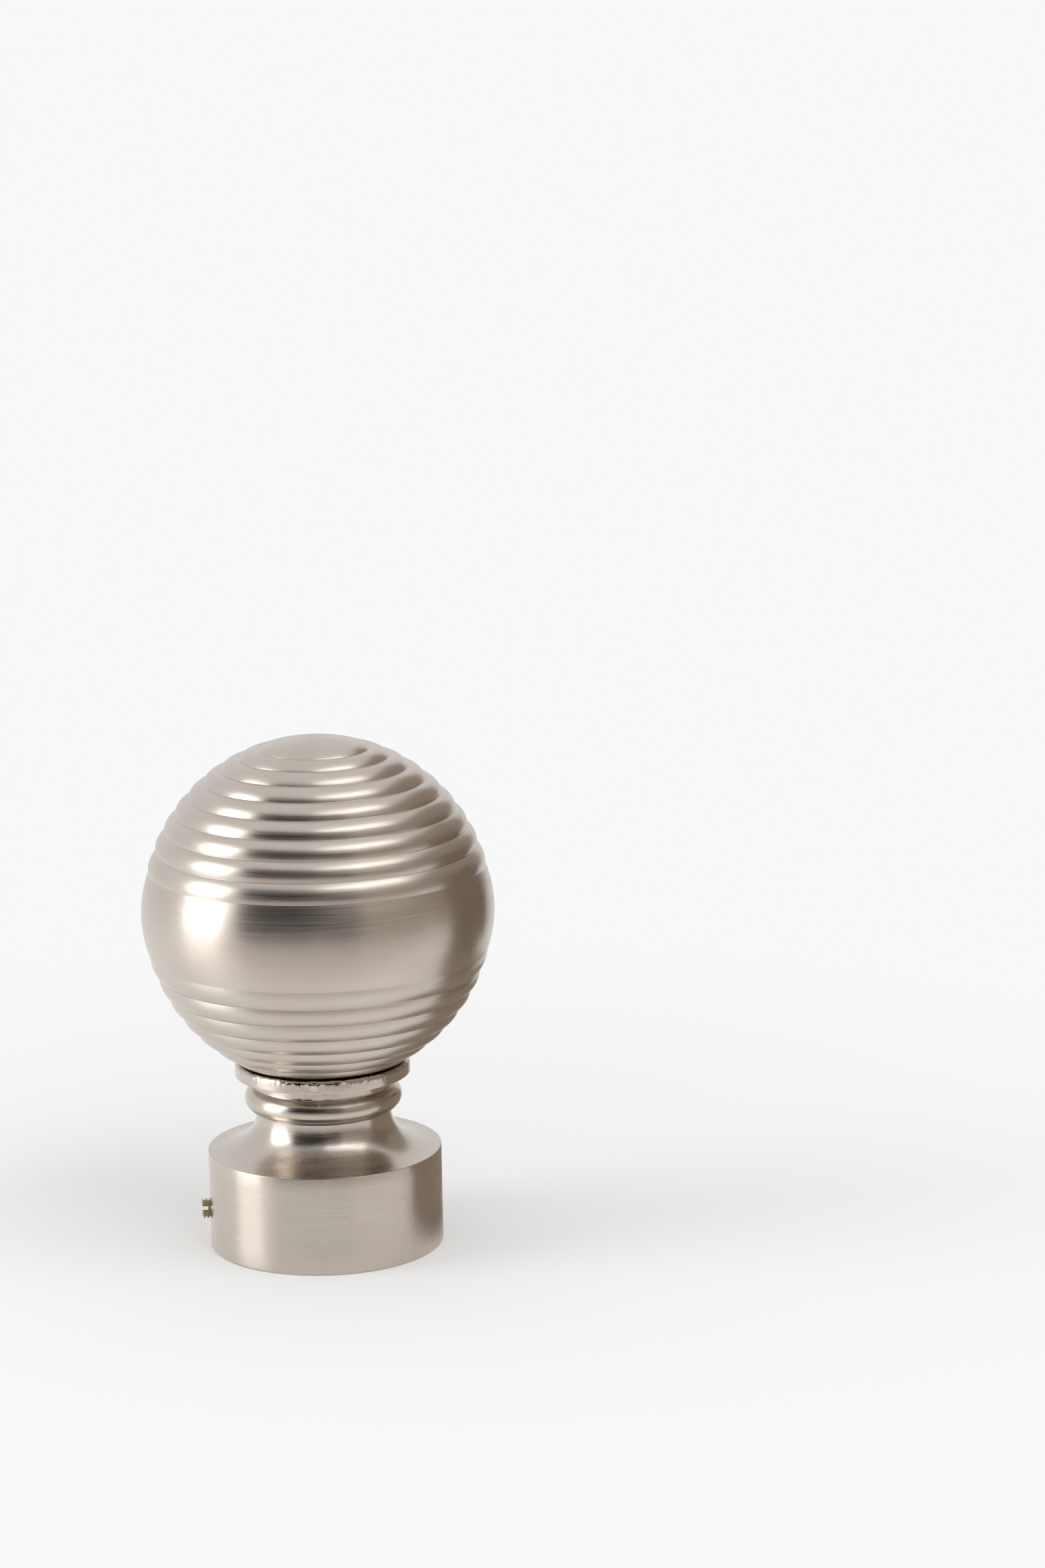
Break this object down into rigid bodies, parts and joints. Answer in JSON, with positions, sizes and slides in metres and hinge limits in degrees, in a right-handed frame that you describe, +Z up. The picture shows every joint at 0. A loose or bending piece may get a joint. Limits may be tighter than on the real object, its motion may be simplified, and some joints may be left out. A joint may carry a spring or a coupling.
{
  "type": "curtain pole finial",
  "caption": "Ribbed hollow ball finial in satin nickel on a round cast socket that slips over the end of a curtain pole and is clamped by a slotted grub screw in its side.",
  "frame": {"origin": "centre of the socket's mouth, on the plane of its rim", "axes": "+Z up the axis from the socket to the ball, -X towards the grub screw's head"},
  "size_m": [0.0674, 0.0674, 0.0993],
  "materials": {
    "satin_nickel": "satin nickel, brushed round the axis",
    "nickel_plate": "nickel plate on a zinc casting, brushed on the cup, bright as cast on the collar",
    "zinc_plate": "zinc-plated steel"
  },
  "bodies": {
    "finial": {"ball_shell": "satin_nickel", "socket_casting": "nickel_plate", "fixing_screw": "zinc_plate", "ball_nut": "zinc_plate"},
    "grub_screw": {"grub_screw": "nickel_plate"}
  },
  "joints": [
    {"name": "grub_screw_travel", "type": "slide", "parent": "finial", "child": "grub_screw", "axis": [1, 0, 0], "range_m": [-0.002, 0.0015]}
  ]
}
